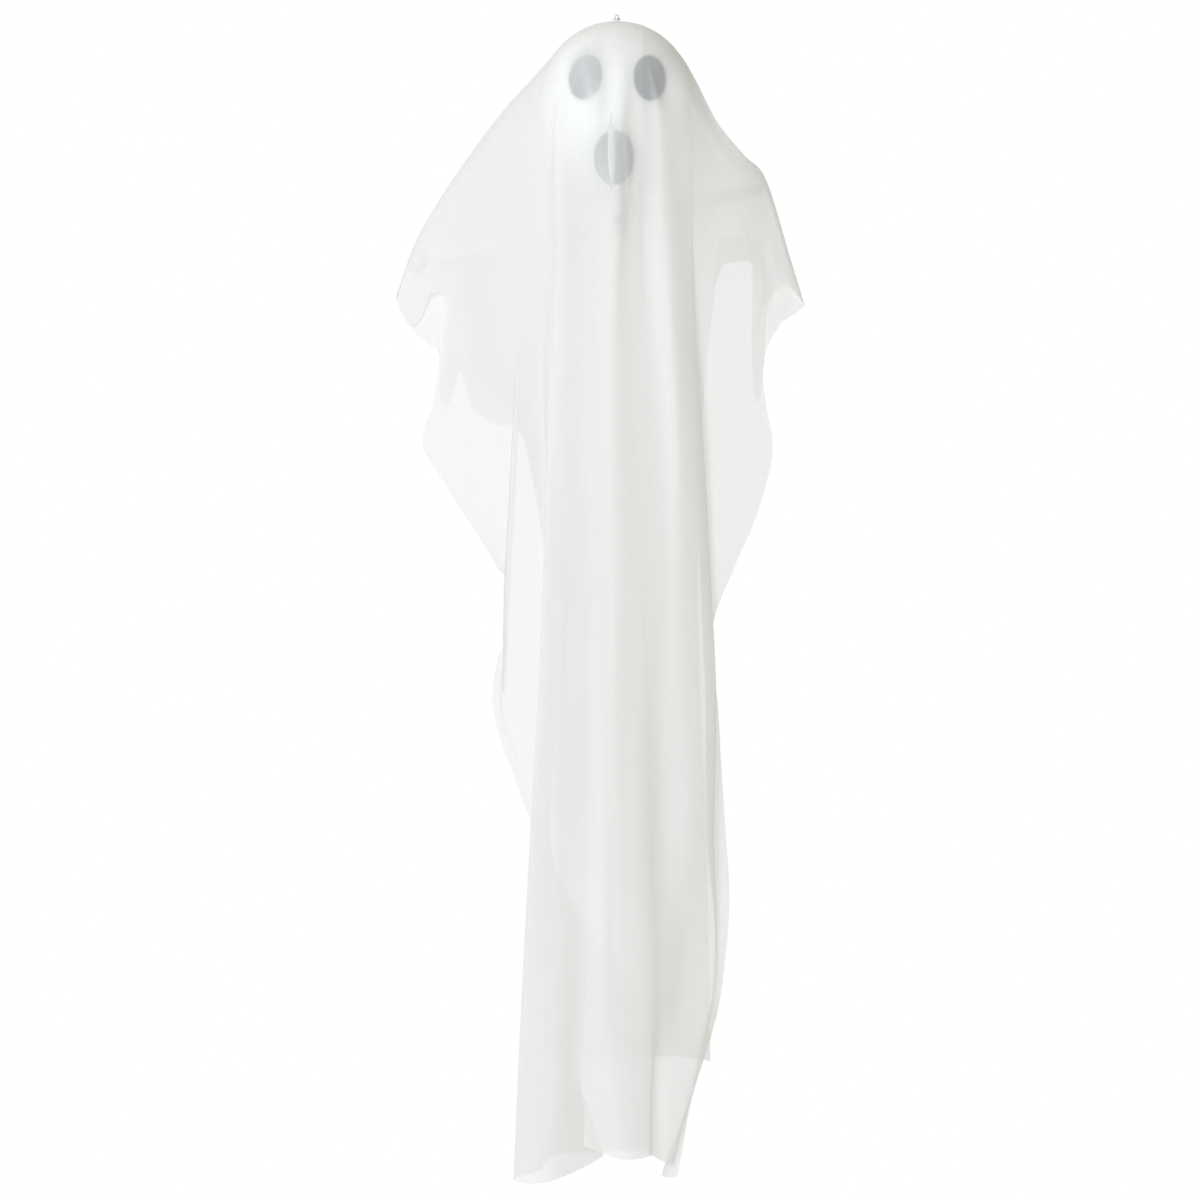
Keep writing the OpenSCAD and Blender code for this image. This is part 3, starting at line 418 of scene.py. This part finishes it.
# ------------------------------------------------------------------ sheet piece
mesh = bpy.data.meshes.new("draped_sheet")
V = (G * 0.001).reshape(-1, 3)
idx = np.arange(NR * NC).reshape(NR, NC)
quads = np.stack([idx[:-1, :-1], idx[1:, :-1], idx[1:, 1:], idx[:-1, 1:]], -1).reshape(-1, 4)
mid = V[quads].mean(1)
hole = (np.hypot(mid[:, 0], mid[:, 1]) < 0.0030) & (mid[:, 2] > -0.02)
quads = quads[~hole]
mesh.from_pydata(V.tolist(), [], quads.tolist())
mesh.polygons.foreach_set("use_smooth", np.ones(len(quads), bool))
# cloth coordinates in metres, across and along the threads
da = np.linalg.norm(np.diff(G, axis=1), axis=2) * 0.001
dl = np.linalg.norm(np.diff(G, axis=0), axis=2) * 0.001
u = np.concatenate([np.zeros((NR, 1)), np.cumsum(da, 1)], 1)
u -= u[:, NC // 2][:, None]
v = np.concatenate([np.zeros((1, NC)), np.cumsum(dl, 0)], 0)
v -= v[ridge_row][None, :]
UV = np.stack([u, v], -1).reshape(-1, 2)
layer = mesh.uv_layers.new(name="cloth")
loops = np.zeros(len(mesh.loops), int)
mesh.loops.foreach_get("vertex_index", loops)
layer.data.foreach_set("uv", UV[loops].astype(np.float32).ravel())
mesh.update()
sheet = bpy.data.objects.new("draped_sheet", mesh)
scene.collection.objects.link(sheet)
mesh.materials.append(gauze())
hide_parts("sheet")
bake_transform(sheet)
x, y, z = V.T


def ease(t):
    t = np.clip(t, 0, 1)
    return t * t * (3 - 2 * t)


a = G[1:, :-1] - G[:-1, :-1]
b = G[:-1, 1:] - G[:-1, :-1]
area = float(np.linalg.norm(np.cross(a, b), axis=2).sum() * 1e-6)
width = max(float(da[r].sum()) for r in range(NR))
length = max(float(dl[:, c].sum()) for c in range(NC))
print("sheet area", area, "widest", width, "longest", length)


# ------------------------------------------------------------------ other materials
def plastic():
    m, nt, out = new_material("moulded_white_plastic")
    tc = nt.nodes.new("ShaderNodeTexCoord")
    grain = add(nt, "ShaderNodeTexNoise", Scale=900.0, Detail=2.0)
    nt.links.new(tc.outputs["Object"], grain.inputs["Vector"])
    cloud = add(nt, "ShaderNodeTexNoise", Scale=14.0, Detail=3.0)
    nt.links.new(tc.outputs["Object"], cloud.inputs["Vector"])
    p = add(nt, "ShaderNodeBsdfPrincipled")
    nt.links.new(ramp(nt, cloud.outputs["Fac"], [(0.3, (0.90, 0.90, 0.885)), (0.7, (0.93, 0.93, 0.92))]), p.inputs["Base Color"])
    nt.links.new(ramp(nt, cloud.outputs["Fac"], [(0.3, (0.42,) * 3), (0.7, (0.55,) * 3)]), p.inputs["Roughness"])
    nt.links.new(bump(nt, grain.outputs["Fac"], 0.12, 0.0003), p.inputs["Normal"])
    nt.links.new(p.outputs[0], out.inputs["Surface"])
    return m


def felt(name, dark, light):
    m, nt, out = new_material(name)
    tc = nt.nodes.new("ShaderNodeTexCoord")
    fibre = add(nt, "ShaderNodeTexNoise", Scale=1100.0, Detail=4.0, Roughness=0.7)
    nt.links.new(tc.outputs["Object"], fibre.inputs["Vector"])
    tuft = add(nt, "ShaderNodeTexNoise", Scale=160.0, Detail=3.0)
    nt.links.new(tc.outputs["Object"], tuft.inputs["Vector"])
    p = add(nt, "ShaderNodeBsdfPrincipled", Roughness=0.95)
    p.inputs["Specular IOR Level"].default_value = 0.15
    p.inputs["Sheen Weight"].default_value = 0.25
    nt.links.new(ramp(nt, tuft.outputs["Fac"], [(0.3, dark), (0.7, light)]), p.inputs["Base Color"])
    nt.links.new(bump(nt, fibre.outputs["Fac"], 0.6, 0.0006), p.inputs["Normal"])
    nt.links.new(p.outputs[0], out.inputs["Surface"])
    return m


def wood(name, along):
    m, nt, out = new_material(name)
    tc = nt.nodes.new("ShaderNodeTexCoord")
    mp = nt.nodes.new("ShaderNodeMapping")
    mp.inputs["Scale"].default_value = along
    nt.links.new(tc.outputs["Object"], mp.inputs["Vector"])
    rings = add(nt, "ShaderNodeTexNoise", Scale=1.0, Detail=5.0, Roughness=0.6)
    nt.links.new(mp.outputs[0], rings.inputs["Vector"])
    pores = add(nt, "ShaderNodeTexNoise", Scale=6.0, Detail=2.0)
    nt.links.new(mp.outputs[0], pores.inputs["Vector"])
    p = add(nt, "ShaderNodeBsdfPrincipled")
    nt.links.new(ramp(nt, rings.outputs["Fac"], [(0.25, (0.76, 0.75, 0.72)), (0.5, (0.82, 0.81, 0.79)), (0.75, (0.86, 0.86, 0.84))]), p.inputs["Base Color"])
    nt.links.new(ramp(nt, pores.outputs["Fac"], [(0.3, (0.62,) * 3), (0.7, (0.50,) * 3)]), p.inputs["Roughness"])
    nt.links.new(bump(nt, pores.outputs["Fac"], 0.25, 0.0003), p.inputs["Normal"])
    nt.links.new(p.outputs[0], out.inputs["Surface"])
    return m


def metal(name, dark, light, rough):
    m, nt, out = new_material(name)
    tc = nt.nodes.new("ShaderNodeTexCoord")
    mottle = add(nt, "ShaderNodeTexNoise", Scale=420.0, Detail=4.0)
    nt.links.new(tc.outputs["Object"], mottle.inputs["Vector"])
    fine = add(nt, "ShaderNodeTexNoise", Scale=2600.0, Detail=2.0)
    nt.links.new(tc.outputs["Object"], fine.inputs["Vector"])
    p = add(nt, "ShaderNodeBsdfPrincipled", Metallic=1.0)
    nt.links.new(ramp(nt, mottle.outputs["Fac"], [(0.3, dark), (0.7, light)]), p.inputs["Base Color"])
    nt.links.new(ramp(nt, mottle.outputs["Fac"], [(0.3, (rough + 0.12,) * 3), (0.7, (rough - 0.06,) * 3)]), p.inputs["Roughness"])
    nt.links.new(bump(nt, fine.outputs["Fac"], 0.15, 0.0001), p.inputs["Normal"])
    nt.links.new(p.outputs[0], out.inputs["Surface"])
    return m


def enamel():
    m, nt, out = new_material("white_enamel")
    tc = nt.nodes.new("ShaderNodeTexCoord")
    peel = add(nt, "ShaderNodeTexNoise", Scale=700.0, Detail=2.0)
    nt.links.new(tc.outputs["Object"], peel.inputs["Vector"])
    p = add(nt, "ShaderNodeBsdfPrincipled")
    nt.links.new(ramp(nt, peel.outputs["Fac"], [(0.3, (0.78, 0.78, 0.77)), (0.7, (0.85, 0.85, 0.84))]), p.inputs["Base Color"])
    nt.links.new(ramp(nt, peel.outputs["Fac"], [(0.3, (0.40,) * 3), (0.7, (0.30,) * 3)]), p.inputs["Roughness"])
    nt.links.new(bump(nt, peel.outputs["Fac"], 0.1, 0.0002), p.inputs["Normal"])
    nt.links.new(p.outputs[0], out.inputs["Surface"])
    return m


tilt_grain = (18.0, 300.0, 300.0)
looks = {
    "hanging_eye": metal("nickel_wire", (0.40, 0.40, 0.41), (0.55, 0.55, 0.56), 0.40),
    "zinc": metal("bright_zinc", (0.52, 0.53, 0.55), (0.68, 0.69, 0.71), 0.32),
    "brass": metal("turned_brass", (0.58, 0.42, 0.18), (0.72, 0.55, 0.27), 0.30),
    "plastic": plastic(),
    "felt": felt("charcoal_felt", (0.130, 0.142, 0.153), (0.182, 0.197, 0.210)),
    # a lighter copy of the charcoal felt, painted paler to stand for the light that reaches the left eye and the mouth
    # where the cloth stands off them (painted light, not a different felt)
    "painted_paler_felt": felt("grey_felt", (0.26, 0.28, 0.293), (0.32, 0.341, 0.356)),
    "bar": wood("lacquered_bar", tilt_grain),
    "dowel": wood("lacquered_dowel", (300.0, 300.0, 18.0)),
    "enamel": enamel(),
}
finish = {
    "hanging_eye": "hanging_eye", "swivel_washer": "zinc", "lock_nut": "zinc", "crown_eyelet": "enamel",
    "head_front_shell": "plastic", "head_back_shell": "plastic",
    # the left eye and the mouth take the felt copy painted paler, as painted light; the right eye keeps the real
    # charcoal felt
    "left_eye_patch": "painted_paler_felt", "right_eye_patch": "felt", "mouth_patch": "painted_paler_felt",
    "core_dowel": "dowel", "pivot_bolt": "zinc", "pivot_washers": "zinc", "wing_nut": "zinc",
    "crossbar": "bar", "pivot_bush": "brass", "left_end_ball": "bar", "right_end_ball": "bar",
}
for name, key in finish.items():
    ob = nodes[name]
    ob.data.materials.clear()
    ob.data.materials.append(looks[key])

# ------------------------------------------------------------------ floor and light
FLOOR_Z = -1.42
bpy.ops.mesh.primitive_circle_add(vertices=128, radius=2.3, fill_type="NGON", location=(0, 0, FLOOR_Z))
floor = bpy.context.object
floor.name = "floor"
m, nt, out = new_material("pale_floor")
tc = nt.nodes.new("ShaderNodeTexCoord")
fl = add(nt, "ShaderNodeTexNoise", Scale=6.0, Detail=4.0)
nt.links.new(tc.outputs["Object"], fl.inputs["Vector"])
p = add(nt, "ShaderNodeBsdfPrincipled", Roughness=0.8)
nt.links.new(ramp(nt, fl.outputs["Fac"], [(0.3, (0.84, 0.84, 0.84)), (0.7, (0.87, 0.87, 0.87))]), p.inputs["Base Color"])
nt.links.new(p.outputs[0], out.inputs["Surface"])
floor.data.materials.append(m)

world = bpy.data.worlds.new("studio")
scene.world = world
world.use_nodes = True
wt = world.node_tree
wt.nodes.clear()
wo = wt.nodes.new("ShaderNodeOutputWorld")
soft = wt.nodes.new("ShaderNodeBackground")
soft.inputs["Color"].default_value = (1.0, 0.98, 0.918, 1)
# the room is lighter behind the ghost, where the backdrop is
wc = wt.nodes.new("ShaderNodeTexCoord")
ws = wt.nodes.new("ShaderNodeSeparateXYZ")
wm = wt.nodes.new("ShaderNodeMapRange")
wm.inputs["From Min"].default_value = -1.0
wm.inputs["To Min"].default_value = 0.49
wm.inputs["To Max"].default_value = 0.80
wt.links.new(wc.outputs["Generated"], ws.inputs[0])
wt.links.new(ws.outputs["Y"], wm.inputs["Value"])
wt.links.new(wm.outputs["Result"], soft.inputs["Strength"])
paper = wt.nodes.new("ShaderNodeBackground")
paper.inputs["Color"].default_value = (1, 1, 1, 1)
paper.inputs["Strength"].default_value = 1.0
lp = wt.nodes.new("ShaderNodeLightPath")
mx = wt.nodes.new("ShaderNodeMixShader")
wt.links.new(lp.outputs["Is Camera Ray"], mx.inputs[0])
wt.links.new(soft.outputs[0], mx.inputs[1])
wt.links.new(paper.outputs[0], mx.inputs[2])
wt.links.new(mx.outputs[0], wo.inputs["Surface"])


def area_light(name, place, aim, size, power, colour=(1, 1, 1)):
    data = bpy.data.lights.new(name, "AREA")
    data.shape = "RECTANGLE"
    data.size, data.size_y = size
    data.energy = power
    data.color = colour
    ob = bpy.data.objects.new(name, data)
    ob.location = place
    ob.rotation_euler = (Vector(aim) - Vector(place)).to_track_quat("-Z", "Y").to_euler()
    scene.collection.objects.link(ob)
    return ob


area_light("key", (-1.75, -3.35, 0.7), (0, 0, -0.55), (1.5, 2.0), 119.0, (0.865, 0.915, 0.975))
